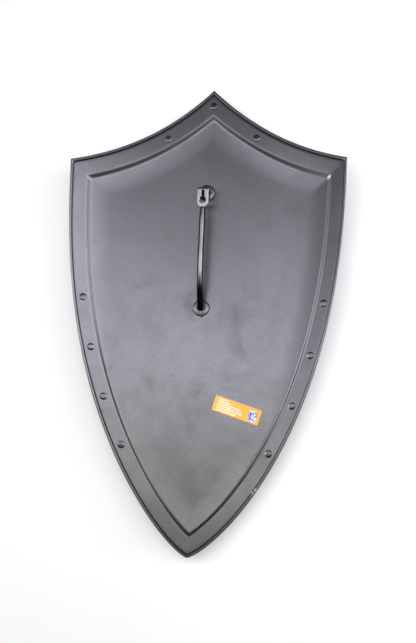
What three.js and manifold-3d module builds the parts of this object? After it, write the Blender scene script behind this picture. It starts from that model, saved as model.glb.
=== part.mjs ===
import * as THREE from 'three'
import { mergeVertices } from 'three/addons/utils/BufferGeometryUtils.js'
import Module from 'manifold-3d'

const wasm = await Module()
wasm.setup()

// A heater shield of pressed steel, lying on its convex front with its back up.
// +Y points to the peak, X is to the right as the back is seen, and Z = 0 is
// the lowest point of the front. All sizes are in millimetres.

// Outline in plan
const shieldHeight = 610
const shieldHalfWidth = 180
const widestHeight = 489
const sideFullness = 2.292
const sideTaper = 0.762
const cornerDrop = 106
const scallopRadius = 502

// Dish of the whole sheet, measured as rise at a distance from its lowest point
const sheetThickness = 1.5
const crossRise = 50
const crossRiseHalfWidth = 180
const lengthRise = 22.7
const lengthRiseHalfLength = 300
const lowestFromMiddle = 24
const restFlatDepth = 0.4

// Border, step and field, measured along the surface
const sideBorderWidth = 22
const topBorderExtra = 2.2
const borderTiltRise = 1.2
const stepRun = 5
const stepDrop = 2.1
const coveRise = 1.2
const coveWidth = 26
const rolledEdgeRadius = 1.9

// Rivets through the border
const rivetShankRadius = 2.4
const rivetHoleClearance = 0.3
const rivetBackRadius = 4.9
const rivetBackHeight = 1.9
const rivetFrontRadius = 5.5
const rivetFrontHeight = 2.6
const sideRivetInset = 12.8
const sideRivetPitch = 66.5
const sideRivetCount = 4
const firstSideRivetDrop = 286.5
const topRivetInset = 15.5
const topRivetFromAxis = 60
const peakRivetDrop = 20.5

// Handle, its washers and its keyhole
const handleOffAxis = -6
const lowerFootFromMiddle = 13.6
const upperFootFromMiddle = 169
const rodRadius = 4
const gripRise = 23
const paddleWidth = 15.3
const paddleThickness = 3
const paddleLength = 25
const paddleRise = 26
const paddleTilt = 6
const paddleBendRadius = 4
const keyholeRadius = 4
const keyholeSlotWidth = 3.8
const keyholeFromTop = 16.6
const keyholeSlotTop = 4.2
const washerRadius = 10.6
const washerThickness = 1.5

// Sticker on the field
const stickerLength = 65.5
const stickerWidth = 20
const stickerThickness = 0.25
const stickerFromSide = 81.991336
const stickerAboveTip = 186.3
const stickerTurn = -15.5

// Gaps kept between pieces that touch; a rivet also clears the bend at the mitre
const contactGap = 0.3
const rivetSeatGap = 0.45

// How far a shape that is joined or cut runs past the face that it meets
const joinDepth = 2

// Fineness of the facets
const topSteps = 12
const sideSteps = 30
const fieldRings = 8
const roundSides = 10

const tipY = -shieldHeight / 2
const peakY = shieldHeight / 2
const cornerY = peakY - cornerDrop
const lowestY = lowestFromMiddle

// Surface of the dish, flattened where the front rests
function rawDish(x, y) {
  const across = crossRise * (x / crossRiseHalfWidth) ** 2
  const along = lengthRise * ((y - lowestY) / lengthRiseHalfLength) ** 2
  return across + along
}

function dish(x, y) {
  return Math.max(rawDish(x, y), restFlatDepth) - restFlatDepth
}

function dishSlope(x, y) {
  const dx = (2 * crossRise * x) / crossRiseHalfWidth ** 2
  const dy = (2 * lengthRise * (y - lowestY)) / lengthRiseHalfLength ** 2
  return new THREE.Vector2(dx, dy)
}

// Height above the dish, measured square to it
function above(x, y, height) {
  const slope = dishSlope(x, y)
  return dish(x, y) + height * Math.sqrt(1 + slope.lengthSq())
}

function surfacePoint(x, y, height) {
  return new THREE.Vector3(x, y, above(x, y, height))
}

// Half of the plan outline: the scalloped top from peak to corner, then the
// side from corner to tip
function sideX(y) {
  const t = Math.abs((tipY + widestHeight - y) / widestHeight)
  return shieldHalfWidth * Math.max(1 - t ** sideFullness, 0) ** sideTaper
}

function scallopCentre() {
  const peak = new THREE.Vector2(0, peakY)
  const corner = new THREE.Vector2(sideX(cornerY), cornerY)
  const chord = corner.clone().sub(peak)
  const middle = peak.clone().add(corner).multiplyScalar(0.5)
  const away = new THREE.Vector2(-chord.y, chord.x).normalize()
  const reach = Math.sqrt(scallopRadius ** 2 - chord.lengthSq() / 4)
  return middle.addScaledVector(away, reach)
}

function topPath(count) {
  const centre = scallopCentre()
  const from = Math.atan2(peakY - centre.y, -centre.x)
  const to = Math.atan2(cornerY - centre.y, sideX(cornerY) - centre.x)
  const points = []
  for (let i = 0; i <= count; i += 1) {
    const turn = from + ((to - from) * i) / count
    const x = centre.x + scallopRadius * Math.cos(turn)
    const y = centre.y + scallopRadius * Math.sin(turn)
    points.push(new THREE.Vector2(x, y))
  }
  return points
}

function sidePath(count) {
  const points = []
  for (let i = 0; i <= count; i += 1) {
    const part = 1 - (1 - i / count) ** 2
    const y = cornerY + (tipY - cornerY) * part
    points.push(new THREE.Vector2(sideX(y), y))
  }
  return points
}

// Moves a path inwards by a distance along the curved sheet
function inwards(path, distance) {
  return path.map((point, i) => {
    const before = path[Math.max(i - 1, 0)]
    const after = path[Math.min(i + 1, path.length - 1)]
    const run = after.clone().sub(before).normalize()
    const normal = new THREE.Vector2(run.y, -run.x)
    const climb = dishSlope(point.x, point.y).dot(normal)
    return point.clone().addScaledVector(normal, distance / Math.sqrt(1 + climb ** 2))
  })
}

function crossing(a, b, c, d) {
  const ab = b.clone().sub(a)
  const cd = d.clone().sub(c)
  const ac = c.clone().sub(a)
  const scale = ab.cross(cd)
  if (Math.abs(scale) < 1e-12) return null
  const s = ac.cross(cd) / scale
  const t = ac.cross(ab) / scale
  if (s < 0 || s > 1 || t < 0 || t > 1) return null
  return a.clone().addScaledVector(ab, s)
}

// Trims both inset paths where they meet each other and at the centreline
function insetHalf(sideDistance, topDistance) {
  let top = inwards(topPath(160), topDistance)
  let side = inwards(sidePath(320), sideDistance)
  top = fromCentreline(top)
  side = fromCentreline(side.reverse()).reverse()
  if (sideDistance > 0) {
    let best = null
    for (let i = 0; i + 1 < top.length && !best; i += 1) {
      for (let k = 0; k + 1 < side.length && !best; k += 1) {
        const meet = crossing(top[i], top[i + 1], side[k], side[k + 1])
        if (meet) best = { i, k, meet }
      }
    }
    top = [...top.slice(0, best.i + 1), best.meet]
    side = [best.meet.clone(), ...side.slice(best.k + 1)]
  }
  return { top, side }
}

function fromCentreline(path) {
  let last = 0
  for (let i = 0; i + 1 < path.length; i += 1) {
    if (path[i].x <= 0 && path[i + 1].x > 0) last = i
  }
  const a = path[last]
  const b = path[last + 1]
  const share = b.x === a.x ? 0 : -a.x / (b.x - a.x)
  const start = new THREE.Vector2(0, a.y + (b.y - a.y) * share)
  return [start, ...path.slice(last + 1)]
}

function evenly(path, count) {
  const lengths = [0]
  for (let i = 1; i < path.length; i += 1) {
    lengths.push(lengths[i - 1] + path[i].distanceTo(path[i - 1]))
  }
  const total = lengths[lengths.length - 1]
  const points = []
  let k = 0
  for (let i = 0; i <= count; i += 1) {
    const target = (total * i) / count
    while (k < path.length - 2 && lengths[k + 1] < target) k += 1
    const part = (target - lengths[k]) / (lengths[k + 1] - lengths[k])
    points.push(path[k].clone().lerp(path[k + 1], Math.min(Math.max(part, 0), 1)))
  }
  return points
}

// One closed ring of plan points at an inset, clockwise from the peak
function ringAt(inset) {
  const extra = topBorderExtra * Math.min(inset / sideBorderWidth, 1)
  const { top, side } = insetHalf(inset, inset + extra)
  const right = [...evenly(top, topSteps), ...evenly(side, sideSteps).slice(1)]
  const left = right.slice(1, -1).reverse()
  return [...right, ...left.map((p) => new THREE.Vector2(-p.x, p.y))]
}

// Heights above the front of the field, square to the dish
const borderBack = sheetThickness + coveRise + stepDrop
const stepFootInset = sideBorderWidth + stepRun
const wallShift = sheetThickness * Math.tan(Math.atan2(stepDrop, stepRun) / 2)

function borderLevel(inset) {
  return borderBack + borderTiltRise * (1 - inset / sideBorderWidth)
}

function edgeRing(turn) {
  const angle = THREE.MathUtils.degToRad(turn)
  const middle = borderLevel(rolledEdgeRadius) - sheetThickness + rolledEdgeRadius
  const inset = rolledEdgeRadius * (1 + Math.cos(angle))
  return { inset, height: middle + rolledEdgeRadius * Math.sin(angle) }
}

// The sheet's cross-section, from the front of the field round to its back
function crossSection() {
  const middle = stepFootInset + coveWidth / 2
  const inner = stepFootInset + coveWidth
  const frontFoot = stepFootInset - wallShift
  const frontStep = sideBorderWidth - wallShift
  const crevice = 2 * rolledEdgeRadius + contactGap
  return [
    { inset: inner, height: 0 },
    { inset: middle, height: coveRise / 3 },
    { inset: frontFoot, height: coveRise },
    { inset: frontStep, height: borderLevel(frontStep) - sheetThickness },
    edgeRing(270),
    edgeRing(225),
    edgeRing(180),
    edgeRing(135),
    edgeRing(90),
    edgeRing(45),
    { inset: crevice, height: borderLevel(crevice) },
    { inset: sideBorderWidth, height: borderBack },
    { inset: stepFootInset, height: sheetThickness + coveRise },
    { inset: middle, height: sheetThickness + coveRise / 3 },
    { inset: inner, height: sheetThickness },
  ]
}

// The flat spot under the lowest point, as a ring with one point per spoke
function restRing(outer) {
  const across = crossRiseHalfWidth * Math.sqrt(restFlatDepth / crossRise)
  const along = lengthRiseHalfLength * Math.sqrt(restFlatDepth / lengthRise)
  return outer.map((p) => {
    const turn = Math.atan2((p.y - lowestY) / along, p.x / across)
    return new THREE.Vector2(across * Math.cos(turn), lowestY + along * Math.sin(turn))
  })
}

function fieldSide(outer, height) {
  const inner = restRing(outer)
  const rings = []
  for (let i = 1; i <= fieldRings; i += 1) {
    const part = i / fieldRings
    const plan = outer.map((p, k) => p.clone().lerp(inner[k], part))
    rings.push(plan.map((p) => surfacePoint(p.x, p.y, height)))
  }
  return rings
}

function closedGeometry(points, faces) {
  let volume = 0
  for (const [a, b, c] of faces) {
    const cross = points[b].clone().cross(points[c])
    volume += points[a].dot(cross)
  }
  const index = faces.flatMap(([a, b, c]) => (volume < 0 ? [a, c, b] : [a, b, c]))
  const geometry = new THREE.BufferGeometry()
  const flat = points.flatMap((p) => [p.x, p.y, p.z])
  geometry.setAttribute('position', new THREE.Float32BufferAttribute(flat, 3))
  geometry.setIndex(index)
  geometry.computeVertexNormals()
  return geometry
}

// Joins a row of rings into a closed skin with a fan at each end
function skin(rings, firstCentre, lastCentre) {
  const size = rings[0].length
  const points = [...rings.flat(), firstCentre, lastCentre]
  const faces = []
  for (let r = 0; r + 1 < rings.length; r += 1) {
    for (let k = 0; k < size; k += 1) {
      const next = (k + 1) % size
      const a = r * size + k
      const b = r * size + next
      const c = (r + 1) * size + next
      const d = (r + 1) * size + k
      faces.push([a, b, c], [a, c, d])
    }
  }
  const lastRing = (rings.length - 1) * size
  for (let k = 0; k < size; k += 1) {
    const next = (k + 1) % size
    faces.push([points.length - 2, next, k])
    faces.push([points.length - 1, lastRing + k, lastRing + next])
  }
  return closedGeometry(points, faces)
}

function plateGeometry() {
  const section = crossSection()
  const rings = section.map(({ inset, height }) => {
    return ringAt(inset).map((p) => surfacePoint(p.x, p.y, height))
  })
  const outer = ringAt(stepFootInset + coveWidth)
  const front = fieldSide(outer, 0).reverse()
  const back = fieldSide(outer, sheetThickness)
  const frontCentre = new THREE.Vector3(0, lowestY, 0)
  const backCentre = new THREE.Vector3(0, lowestY, sheetThickness)
  return skin([...front, ...rings, ...back], frontCentre, backCentre)
}

// Solids for cutting and joining
function toSolid(geometry) {
  const bare = geometry.clone()
  bare.deleteAttribute('normal')
  bare.deleteAttribute('uv')
  const merged = mergeVertices(bare, 1e-4)
  const vertProperties = new Float32Array(merged.attributes.position.array)
  const triVerts = new Uint32Array(merged.index.array)
  return new wasm.Manifold(new wasm.Mesh({ numProp: 3, vertProperties, triVerts }))
}

function toGeometry(solid) {
  const mesh = solid.getMesh()
  const count = mesh.vertProperties.length / mesh.numProp
  const flat = new Float32Array(count * 3)
  for (let i = 0; i < count; i += 1) {
    for (let k = 0; k < 3; k += 1) {
      flat[3 * i + k] = mesh.vertProperties[mesh.numProp * i + k]
    }
  }
  const geometry = new THREE.BufferGeometry()
  geometry.setAttribute('position', new THREE.Float32BufferAttribute(flat, 3))
  geometry.setIndex(Array.from(mesh.triVerts))
  geometry.computeVertexNormals()
  return geometry
}

// A frame on the dish: Z square to the sheet, Y towards the peak
function sheetFrame(x, y, height) {
  const slope = dishSlope(x, y)
  const up = new THREE.Vector3(-slope.x, -slope.y, 1).normalize()
  const side = new THREE.Vector3(0, 1, 0).cross(up).normalize()
  const along = up.clone().cross(side)
  const matrix = new THREE.Matrix4().makeBasis(side, along, up)
  return matrix.setPosition(x, y, above(x, y, height))
}

// Rivets
function sideRivetSpots() {
  const path = inwards(sidePath(4000), sideRivetInset)
  const spots = []
  let last = null
  for (const p of path) {
    const isFirst = !last && p.y <= peakY - firstSideRivetDrop
    const isNext = last && p.distanceTo(last) >= sideRivetPitch
    if (spots.length < sideRivetCount && (isFirst || isNext)) {
      spots.push(p)
      last = p
    }
  }
  return spots
}

function topRivetSpot() {
  const path = inwards(topPath(2000), topRivetInset)
  return path.find((p) => p.x >= topRivetFromAxis)
}

function rivetSpots() {
  const spots = [{ name: 'rivet_peak', x: 0, y: peakY - peakRivetDrop }]
  const top = topRivetSpot()
  spots.push({ name: 'rivet_top_left', x: -top.x, y: top.y })
  spots.push({ name: 'rivet_top_right', x: top.x, y: top.y })
  sideRivetSpots().forEach((p, i) => {
    spots.push({ name: `rivet_left_${i + 1}`, x: -p.x, y: p.y })
    spots.push({ name: `rivet_right_${i + 1}`, x: p.x, y: p.y })
  })
  return spots
}

// Middle of the sheet in the border at a plan point
function borderMiddle(x, y) {
  const side = nearestInset(sidePath(160), x, y)
  const top = nearestInset(topPath(80), x, y)
  const stretch = (sideBorderWidth + topBorderExtra) / sideBorderWidth
  return borderLevel(Math.min(side, top / stretch)) - sheetThickness / 2
}

function nearestInset(path, x, y) {
  const spot = new THREE.Vector2(Math.abs(x), y)
  const gaps = path.map((p) => p.distanceTo(spot))
  return Math.min(...gaps)
}

function rivetGeometry() {
  const half = sheetThickness / 2 + rivetSeatGap
  const profile = [
    [0, -half - rivetFrontHeight],
    [rivetFrontRadius * 0.5, -half - rivetFrontHeight * 0.87],
    [rivetFrontRadius * 0.86, -half - rivetFrontHeight * 0.5],
    [rivetFrontRadius, -half],
    [rivetShankRadius, -half],
    [rivetShankRadius, half],
    [rivetBackRadius, half],
    [rivetBackRadius * 0.86, half + rivetBackHeight * 0.55],
    [rivetBackRadius * 0.45, half + rivetBackHeight * 0.92],
    [0, half + rivetBackHeight],
  ]
  const points = profile.map(([r, z]) => new THREE.Vector2(r, z))
  const geometry = new THREE.LatheGeometry(points, roundSides)
  return geometry.rotateX(Math.PI / 2)
}

function rivetHole(spot) {
  const radius = rivetShankRadius + rivetHoleClearance
  const geometry = new THREE.CylinderGeometry(radius, radius, 8 * sheetThickness, roundSides)
  geometry.rotateX(Math.PI / 2)
  const middle = borderMiddle(spot.x, spot.y)
  return toSolid(geometry.applyMatrix4(sheetFrame(spot.x, spot.y, middle)))
}

// Handle: the grip rod, the flattened keyhole end and its bent leg
const fieldBack = sheetThickness
const footHeight = fieldBack + 2 * contactGap + washerThickness
const paddleTopY = upperFootFromMiddle + paddleThickness / 2
const paddleFootY = paddleTopY - paddleLength

function gripPoint(y, rise) {
  return new THREE.Vector3(handleOffAxis, y, above(handleOffAxis, y, fieldBack + rise))
}

function gripPath() {
  const span = paddleFootY - lowerFootFromMiddle
  return new THREE.CatmullRomCurve3([
    gripPoint(lowerFootFromMiddle, rodRadius * 0.2),
    gripPoint(lowerFootFromMiddle + span * 0.02, gripRise * 0.24),
    gripPoint(lowerFootFromMiddle + span * 0.1, gripRise * 0.49),
    gripPoint(lowerFootFromMiddle + span * 0.24, gripRise * 0.8),
    gripPoint(lowerFootFromMiddle + span * 0.45, gripRise * 0.96),
    gripPoint(lowerFootFromMiddle + span * 0.7, gripRise),
    gripPoint(paddleFootY, paddleRise - paddleLength * Math.tan(THREE.MathUtils.degToRad(paddleTilt))),
  ])
}

function circleShape(radius, sides) {
  const shape = new THREE.Shape()
  for (let i = 0; i <= sides; i += 1) {
    const turn = (2 * Math.PI * i) / sides
    const x = radius * Math.cos(turn)
    const y = radius * Math.sin(turn)
    if (i === 0) shape.moveTo(x, y)
    else shape.lineTo(x, y)
  }
  return shape
}

function rodSolid() {
  const section = circleShape(rodRadius, roundSides)
  const settings = { steps: 22, bevelEnabled: false, extrudePath: gripPath() }
  return toSolid(new THREE.ExtrudeGeometry(section, settings))
}

// The neck tapers from the rod to the thickness of the paddle
function neckSolid() {
  const length = 2 * rodRadius
  const thin = paddleThickness * 0.45
  const cone = new THREE.CylinderGeometry(thin, rodRadius, length, roundSides)
  cone.translate(0, length / 2 - joinDepth / 10, 0)
  const path = gripPath()
  const end = path.getPoint(1)
  const tilt = path.getTangent(1)
  cone.applyQuaternion(new THREE.Quaternion().setFromUnitVectors(new THREE.Vector3(0, 1, 0), tilt))
  cone.translate(end.x, end.y, end.z)
  return toSolid(cone)
}

// Side view of the flattened end: flat, bend and leg, drawn in Y and Z
function stripSolid() {
  const slope = Math.tan(THREE.MathUtils.degToRad(paddleTilt))
  const baseZ = above(handleOffAxis, upperFootFromMiddle, fieldBack)
  const topZ = baseZ + paddleRise + paddleThickness / 2
  const lowZ = baseZ - joinDepth
  const lowY = paddleFootY - joinDepth
  const inside = paddleBendRadius
  const outside = paddleBendRadius + paddleThickness
  const shape = new THREE.Shape()
  shape.moveTo(lowY, topZ - (paddleTopY - lowY) * slope)
  shape.lineTo(paddleTopY - outside, topZ - outside * slope)
  shape.quadraticCurveTo(paddleTopY, topZ, paddleTopY, topZ - outside)
  shape.lineTo(paddleTopY, lowZ)
  shape.lineTo(paddleTopY - paddleThickness, lowZ)
  shape.lineTo(paddleTopY - paddleThickness, topZ - outside)
  const under = topZ - paddleThickness
  shape.quadraticCurveTo(paddleTopY - paddleThickness, under, paddleTopY - outside, under - outside * slope)
  shape.lineTo(lowY, under - (paddleTopY - lowY) * slope)
  const settings = { depth: paddleWidth, bevelEnabled: false, curveSegments: 4 }
  const geometry = new THREE.ExtrudeGeometry(shape, settings)
  geometry.translate(0, 0, -paddleWidth / 2)
  const turned = new THREE.Matrix4().makeBasis(
    new THREE.Vector3(0, 1, 0),
    new THREE.Vector3(0, 0, 1),
    new THREE.Vector3(1, 0, 0),
  )
  geometry.applyMatrix4(turned.setPosition(handleOffAxis, 0, 0))
  return toSolid(geometry)
}

// Plan of the flattened end, with round shoulders down to the neck
function prism(shape, fromZ, toZ) {
  const settings = { depth: toZ - fromZ, bevelEnabled: false, curveSegments: 5 }
  const geometry = new THREE.ExtrudeGeometry(shape, settings)
  return toSolid(geometry.translate(handleOffAxis, 0, fromZ))
}

function shoulderShape() {
  const half = paddleWidth / 2
  const neck = rodRadius * 0.7
  const shoulder = paddleWidth * 0.42
  const shape = new THREE.Shape()
  shape.moveTo(-half, paddleTopY + joinDepth)
  shape.lineTo(-half, paddleFootY + shoulder)
  shape.quadraticCurveTo(-half, paddleFootY + joinDepth / 2, -neck, paddleFootY)
  shape.lineTo(neck, paddleFootY)
  shape.quadraticCurveTo(half, paddleFootY + joinDepth / 2, half, paddleFootY + shoulder)
  shape.lineTo(half, paddleTopY + joinDepth)
  return shape
}

function keyholeShape() {
  const holeY = paddleTopY - keyholeFromTop
  const slotTop = paddleTopY - keyholeSlotTop
  const half = keyholeSlotWidth / 2
  const open = Math.asin(half / keyholeRadius)
  const shape = new THREE.Shape()
  shape.moveTo(half, slotTop - half)
  shape.absarc(0, slotTop - half, half, 0, Math.PI, false)
  shape.lineTo(-half, holeY + keyholeRadius * Math.cos(open))
  shape.absarc(0, holeY, keyholeRadius, Math.PI / 2 + open, Math.PI * 2.5 - open, false)
  return shape
}

function handleGeometry() {
  const clearTop = above(handleOffAxis, paddleTopY, fieldBack + 2 * paddleRise)
  const floor = new THREE.BoxGeometry(4 * washerRadius, 4 * washerRadius, 4 * rodRadius)
  floor.translate(0, 0, -2 * rodRadius)
  const lower = sheetFrame(handleOffAxis, lowerFootFromMiddle, footHeight)
  const upper = sheetFrame(handleOffAxis, upperFootFromMiddle, footHeight)
  const plan = prism(shoulderShape(), -paddleLength, clearTop)
  const keyhole = prism(keyholeShape(), above(handleOffAxis, paddleTopY, footHeight), clearTop)
  const solid = stripSolid()
    .intersect(plan)
    .add(rodSolid())
    .add(neckSolid())
    .subtract(keyhole)
    .subtract(toSolid(floor.clone().applyMatrix4(lower)))
    .subtract(toSolid(floor.clone().applyMatrix4(upper)))
  return toGeometry(solid)
}

// Sticker: a thin strip that follows the field
function stickerGeometry() {
  const turn = THREE.MathUtils.degToRad(stickerTurn)
  const centreY = tipY + stickerAboveTip
  const centreX = sideX(centreY) - stickerFromSide
  const across = 10
  const deep = 3
  const low = sheetThickness + 1.5 * contactGap
  const levels = [low, low + stickerThickness]
  const points = []
  for (const level of levels) {
    for (let j = 0; j <= deep; j += 1) {
      for (let i = 0; i <= across; i += 1) {
        const u = stickerLength * (i / across - 0.5)
        const v = stickerWidth * (j / deep - 0.5)
        const stretch = Math.cos(Math.atan(dishSlope(centreX, centreY).length()))
        const x = centreX + u * Math.cos(turn) * stretch - v * Math.sin(turn)
        const y = centreY + u * Math.sin(turn) * stretch + v * Math.cos(turn)
        points.push(surfacePoint(x, y, level))
      }
    }
  }
  const row = across + 1
  const layer = row * (deep + 1)
  const faces = []
  for (let j = 0; j < deep; j += 1) {
    for (let i = 0; i < across; i += 1) {
      const a = j * row + i
      faces.push([a, a + row + 1, a + 1], [a, a + row, a + row + 1])
      faces.push([a + layer, a + layer + 1, a + layer + row + 1])
      faces.push([a + layer, a + layer + row + 1, a + layer + row])
    }
  }
  const rim = []
  for (let i = 0; i < across; i += 1) rim.push(i)
  for (let j = 0; j < deep; j += 1) rim.push(j * row + across)
  for (let i = across; i > 0; i -= 1) rim.push(deep * row + i)
  for (let j = deep; j > 0; j -= 1) rim.push(j * row)
  rim.forEach((a, i) => {
    const b = rim[(i + 1) % rim.length]
    faces.push([a, b, b + layer], [a, b + layer, a + layer])
  })
  return closedGeometry(points, faces)
}

// Materials
const steel = new THREE.MeshStandardMaterial({ color: 0x84858c, roughness: 0.45, metalness: 0.9 })
const rodSteel = new THREE.MeshStandardMaterial({ color: 0xa5a6ab, roughness: 0.35, metalness: 1 })
const paper = new THREE.MeshStandardMaterial({ color: 0xf0a43c, roughness: 0.6, metalness: 0 })

function named(name, geometry, material) {
  const mesh = new THREE.Mesh(geometry, material)
  mesh.name = name
  return mesh
}

function place(mesh, frame) {
  mesh.position.setFromMatrixPosition(frame)
  mesh.quaternion.setFromRotationMatrix(frame)
  return mesh
}

const shield = new THREE.Group()

let plate = toSolid(plateGeometry())
for (const spot of rivetSpots()) {
  plate = plate.subtract(rivetHole(spot))
}
shield.add(named('shield_plate', toGeometry(plate), steel))

for (const spot of rivetSpots()) {
  const middle = borderMiddle(spot.x, spot.y)
  const frame = sheetFrame(spot.x, spot.y, middle)
  shield.add(place(named(spot.name, rivetGeometry(), steel), frame))
}

const washer = new THREE.CylinderGeometry(washerRadius, washerRadius, washerThickness, 2 * roundSides)
washer.rotateX(Math.PI / 2)
const washerMiddle = fieldBack + contactGap + washerThickness / 2
const feet = [
  { name: 'washer_lower', y: lowerFootFromMiddle },
  { name: 'washer_upper', y: upperFootFromMiddle },
]
for (const foot of feet) {
  const frame = sheetFrame(handleOffAxis, foot.y, washerMiddle)
  shield.add(place(named(foot.name, washer.clone(), rodSteel), frame))
}

shield.add(named('handle', handleGeometry(), rodSteel))
shield.add(named('sticker', stickerGeometry(), paper))

export default shield
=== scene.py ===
import math
import random

import bmesh
import bpy
import numpy as np
from mathutils import Matrix, Vector, noise


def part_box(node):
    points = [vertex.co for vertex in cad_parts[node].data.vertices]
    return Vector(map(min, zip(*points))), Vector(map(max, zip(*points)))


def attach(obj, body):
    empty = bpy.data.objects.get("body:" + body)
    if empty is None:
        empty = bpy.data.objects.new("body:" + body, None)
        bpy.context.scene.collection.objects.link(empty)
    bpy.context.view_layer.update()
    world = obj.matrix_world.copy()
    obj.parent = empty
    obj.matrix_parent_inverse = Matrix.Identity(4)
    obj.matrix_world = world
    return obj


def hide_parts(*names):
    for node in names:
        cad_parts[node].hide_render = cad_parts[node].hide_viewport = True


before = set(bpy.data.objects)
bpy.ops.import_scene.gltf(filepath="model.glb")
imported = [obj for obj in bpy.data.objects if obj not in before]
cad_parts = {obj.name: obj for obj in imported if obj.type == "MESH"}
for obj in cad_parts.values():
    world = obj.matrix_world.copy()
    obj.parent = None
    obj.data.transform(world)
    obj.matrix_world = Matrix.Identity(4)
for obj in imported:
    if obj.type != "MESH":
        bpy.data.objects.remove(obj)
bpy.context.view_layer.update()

MM = 0.001

# Outline in plan, millimetres
SHIELD_HEIGHT = 610
HALF_WIDTH = 180
WIDEST_HEIGHT = 489
SIDE_FULLNESS = 2.292
SIDE_TAPER = 0.762
CORNER_DROP = 106
SCALLOP_RADIUS = 502

# Dish
THICKNESS = 1.5
CROSS_RISE = 50
CROSS_HALF = 180
LENGTH_RISE = 22.7
LENGTH_HALF = 300
LOWEST_Y = 24
REST_FLAT_DEPTH = 0.4

# Border, step and cove
BORDER_WIDTH = 22
TOP_BORDER_EXTRA = 2.2
BORDER_TILT_RISE = 1.2
STEP_RUN = 5
STEP_DROP = 2.1
STEP_SOFTNESS = 1.0
COVE_RISE = 1.2
COVE_WIDTH = 26
EDGE_RADIUS = 1.9
EDGE_HEIGHT = 2.7
FRONT_STEP_SHIFT = 0.3
FIELD_INSET = 60.0
# inset and depth of the crevice beside the rolled edge
CREVICE = ((3.85, 0.6), (4.1, 0.35), (4.4, 0.06))
CREVICE_INSET = 3.95
# inset of the line of painted shade at the foot of the step
STEP_CREASE_SHADE_INSET = 24.2

# Rivets
RIVET_RADIUS = 4.9
RIVET_DOME = 1.0
RIVET_FRONT_RADIUS = 5.5
RIVET_FRONT_HEIGHT = 2.6
RIVET_SEAT_GAP = 0.45
RIVET_SHANK_RADIUS = 2.4
RIVET_SIDE_INSET = 12.8
RIVET_TOP_INSET = 15.5
RIVET_SIDES = 40

# Handle
HANDLE_X = -6
LOWER_FOOT_Y = 13.6
UPPER_FOOT_Y = 169
ROD_RADIUS = 4
ROD_SIDES = 28
GRIP_RISE = 23
PADDLE_WIDTH = 15.3
PADDLE_THICKNESS = 3
PADDLE_LENGTH = 25
PADDLE_RISE = 26
PADDLE_TILT = 6
PADDLE_BEND = 2.2
KEYHOLE_RADIUS = 4
KEYHOLE_SLOT = 3.8
KEYHOLE_FROM_TOP = 16.6
KEYHOLE_SLOT_TOP = 4.2
WASHER_RADIUS = 10.6
WASHER_THICKNESS = 1.5

# Sticker
STICKER_LENGTH = 65.5
STICKER_WIDTH = 20
STICKER_THICKNESS = 0.22
STICKER_SEAT = 0.24
STICKER_CURL = 0.75
STICKER_CORNER = 1.6
STICKER_X = 50.2
STICKER_Y = -118.7
STICKER_TURN = math.radians(-15.5)

TOP_STEPS = 56
SIDE_STEPS = 140

TIP_Y = -SHIELD_HEIGHT / 2
PEAK_Y = SHIELD_HEIGHT / 2
CORNER_Y = PEAK_Y - CORNER_DROP
BORDER_BACK = THICKNESS + COVE_RISE + STEP_DROP
STEP_FOOT = BORDER_WIDTH + STEP_RUN
COVE_END = STEP_FOOT + COVE_WIDTH


# Surface of the sheet

def raw_dish(x, y):
    return CROSS_RISE * (x / CROSS_HALF) ** 2 + LENGTH_RISE * ((y - LOWEST_Y) / LENGTH_HALF) ** 2


def slope(x, y):
    return 2 * CROSS_RISE * x / CROSS_HALF**2, 2 * LENGTH_RISE * (y - LOWEST_Y) / LENGTH_HALF**2


def stretch(x, y):
    dx, dy = slope(x, y)
    return np.sqrt(1 + dx**2 + dy**2)


def front_z(x, y, height):
    return np.maximum(raw_dish(x, y), REST_FLAT_DEPTH) - REST_FLAT_DEPTH + height * stretch(x, y)


def back_z(x, y, height):
    return raw_dish(x, y) - REST_FLAT_DEPTH + height * stretch(x, y)


def side_x(y):
    t = np.abs((TIP_Y + WIDEST_HEIGHT - y) / WIDEST_HEIGHT)
    return HALF_WIDTH * np.maximum(1 - t**SIDE_FULLNESS, 0) ** SIDE_TAPER


def top_path(count):
    peak = np.array([0.0, PEAK_Y])
    corner = np.array([side_x(CORNER_Y), CORNER_Y])
    chord = corner - peak
    away = np.array([-chord[1], chord[0]]) / np.hypot(*chord)
    centre = (peak + corner) / 2 + away * math.sqrt(SCALLOP_RADIUS**2 - chord @ chord / 4)
    start = math.atan2(PEAK_Y - centre[1], -centre[0])
    end = math.atan2(CORNER_Y - centre[1], corner[0] - centre[0])
    turn = np.linspace(start, end, count + 1)
    return centre + SCALLOP_RADIUS * np.stack([np.cos(turn), np.sin(turn)], 1)


def side_path(count):
    part = 1 - (1 - np.linspace(0, 1, count + 1)) ** 2
    y = CORNER_Y + (TIP_Y - CORNER_Y) * part
    return np.stack([side_x(y), y], 1)


def inwards(path, distance):
    before = np.vstack([path[:1], path[:-1]])
    after = np.vstack([path[1:], path[-1:]])
    run = after - before
    run /= np.hypot(run[:, 0], run[:, 1])[:, None]
    normal = np.stack([run[:, 1], -run[:, 0]], 1)
    dx, dy = slope(path[:, 0], path[:, 1])
    climb = dx * normal[:, 0] + dy * normal[:, 1]
    return path + normal * (distance / np.sqrt(1 + climb**2))[:, None]


def from_centreline(path):
    last = np.flatnonzero((path[:-1, 0] <= 0) & (path[1:, 0] > 0))
    last = int(last[-1]) if len(last) else 0
    a, b = path[last], path[last + 1]
    share = 0 if a[0] == b[0] else -a[0] / (b[0] - a[0])
    return np.vstack([[[0.0, a[1] + (b[1] - a[1]) * share]], path[last + 1:]])


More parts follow.
